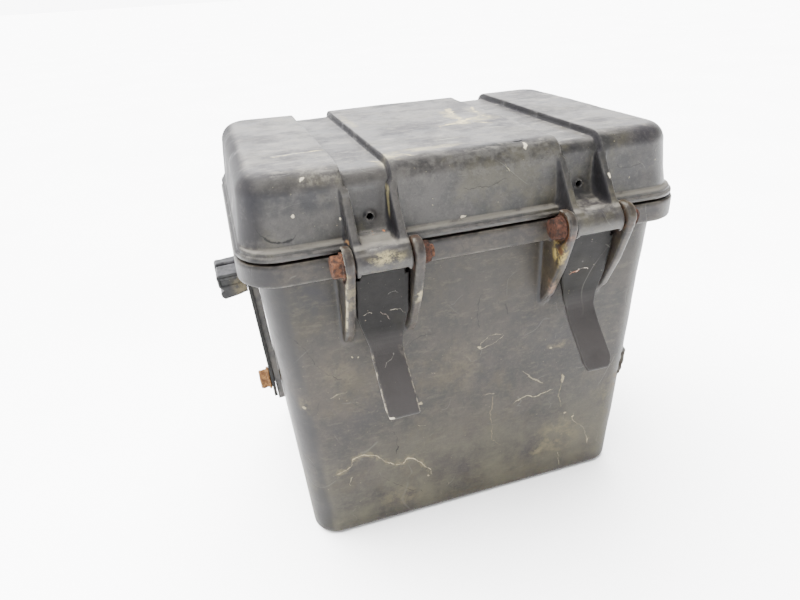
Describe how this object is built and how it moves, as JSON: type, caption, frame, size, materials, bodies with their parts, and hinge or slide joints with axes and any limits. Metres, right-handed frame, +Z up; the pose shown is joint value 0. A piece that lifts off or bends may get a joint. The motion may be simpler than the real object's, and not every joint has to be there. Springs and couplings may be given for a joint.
{
  "type": "battery box",
  "caption": "Rectangular moulded battery box with a hinged domed lid, bolt-through latch levers in moulded ears at the front, and a bolted side plate carrying a relay block.",
  "frame": {"origin": "centre of the box's flat underside", "axes": "+X to the right-hand side seen from the latch side, -Y towards the latch side, +Z up"},
  "size_m": [0.3142, 0.2696, 0.284],
  "materials": {
    "box_plastic": "moulded polyethylene, faded and scuffed",
    "lid_plastic": "moulded polyethylene, faded paler than the box",
    "lever_plastic": "moulded nylon, worn",
    "relay_plastic": "moulded nylon",
    "foam": "closed-cell foam",
    "rubber": "moulded rubber",
    "rusty_steel": "rusted zinc-plated steel",
    "dark_steel": "dull dark steel"
  },
  "bodies": {
    "box": {"box_body": "box_plastic", "latch_bolt_left": "rusty_steel", "latch_nut_left": "rusty_steel", "latch_sleeve_left": "rusty_steel", "hinge_bolt_left": "rusty_steel", "hinge_nut_left": "rusty_steel", "hinge_sleeve_left": "rusty_steel", "latch_bolt_right": "rusty_steel", "latch_nut_right": "rusty_steel", "latch_sleeve_right": "rusty_steel", "hinge_bolt_right": "rusty_steel", "hinge_nut_right": "rusty_steel", "hinge_sleeve_right": "rusty_steel", "side_pad": "box_plastic", "side_plate": "dark_steel", "relay_block": "relay_plastic", "terminal_bar": "relay_plastic", "side_bolt": "rusty_steel", "side_nut": "dark_steel", "relay_bolt_front": "dark_steel", "relay_bolt_rear": "dark_steel", "floor_mat": "rubber", "lead_grommet_left": "rubber", "lead_grommet_right": "rubber"},
    "lid": {"lid_shell": "lid_plastic", "lid_gasket": "foam", "hold_down_pad": "foam"},
    "latch_left": {"latch_lever_left": "lever_plastic"},
    "latch_right": {"latch_lever_right": "lever_plastic"}
  },
  "joints": [
    {"name": "lid_hinge", "type": "hinge", "parent": "box", "child": "lid", "pos_m": [0, 0.118, 0.24], "axis": [-1, 0, 0], "range_deg": [0, 105]},
    {"name": "left_latch_swing", "type": "hinge", "parent": "box", "child": "latch_left", "pos_m": [-0.069, -0.1165, 0.2335], "axis": [-1, 0, 0], "range_deg": [0, 45]},
    {"name": "right_latch_swing", "type": "hinge", "parent": "box", "child": "latch_right", "pos_m": [0.0705, -0.1165, 0.2335], "axis": [-1, 0, 0], "range_deg": [0, 45]}
  ]
}
